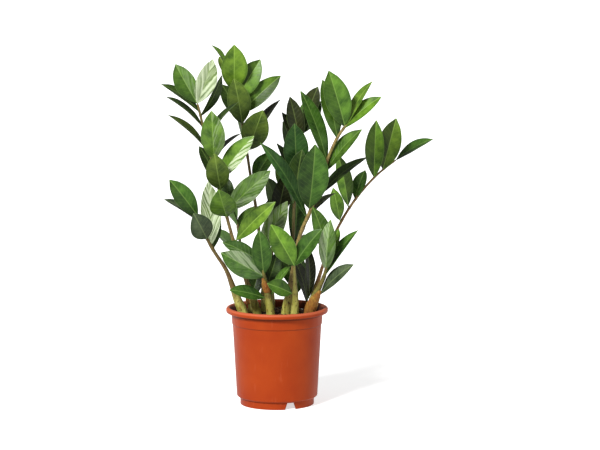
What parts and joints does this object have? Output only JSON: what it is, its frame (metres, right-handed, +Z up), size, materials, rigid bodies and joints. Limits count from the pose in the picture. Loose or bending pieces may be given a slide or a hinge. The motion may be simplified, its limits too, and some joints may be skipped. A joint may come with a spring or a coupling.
{
  "type": "potted zz plant",
  "caption": "Upright glossy-leaved houseplant: arching feather-like fronds rising from soil in a tapered plastic grower's pot with a rolled rim and a notched, drained foot.",
  "frame": {"origin": "on the surface the pot stands on, under the middle of the plant's overall width and depth", "axes": "+Z up; -Y is the front, where most leaves turn their upper faces; +X to the right seen from the front"},
  "size_m": [0.3172, 0.1604, 0.4223],
  "materials": {
    "pot_plastic": "satin",
    "soil": "matte",
    "rhizome": "matte",
    "stem": "satin",
    "leaf": "gloss",
    "dry_sheath": "matte"
  },
  "bodies": {
    "root": {"leaf_a1": "leaf", "leaf_a2": "leaf", "leaf_b1": "leaf", "leaf_b10": "leaf", "leaf_b2": "leaf", "leaf_b3": "leaf", "leaf_b4": "leaf", "leaf_b5": "leaf", "leaf_b6": "leaf", "leaf_b7": "leaf", "leaf_b8": "leaf", "leaf_b9": "leaf", "leaf_c1": "leaf", "leaf_c2": "leaf", "leaf_c3": "leaf", "leaf_c4": "leaf", "leaf_c5": "leaf", "leaf_c6": "leaf", "leaf_c7": "leaf", "leaf_d1": "leaf", "leaf_d2": "leaf", "leaf_d3": "leaf", "leaf_d4": "leaf", "leaf_d5": "leaf", "leaf_e1": "leaf", "leaf_e2": "leaf", "leaf_e3": "leaf", "leaf_f1": "leaf", "leaf_f2": "leaf", "leaf_f3": "leaf", "leaf_f4": "leaf", "leaf_f5": "leaf", "leaf_g1": "leaf", "leaf_g2": "leaf", "leaf_g3": "leaf", "leaf_h1": "leaf", "leaf_i1": "leaf", "leaf_i2": "leaf", "leaf_j1": "leaf", "leaf_k1": "leaf", "pot": "pot_plastic", "rhizome_back": "rhizome", "rhizome_left": "rhizome", "rhizome_right": "rhizome", "sheath_left": "dry_sheath", "sheath_middle": "dry_sheath", "sheath_right": "dry_sheath", "soil": "soil", "stem_a": "stem", "stem_b": "stem", "stem_c": "stem", "stem_d": "stem", "stem_e": "stem", "stem_f": "stem", "stem_g": "stem", "stem_h": "stem", "stem_i": "stem", "stem_j": "stem", "stem_k": "stem"}
  },
  "joints": []
}
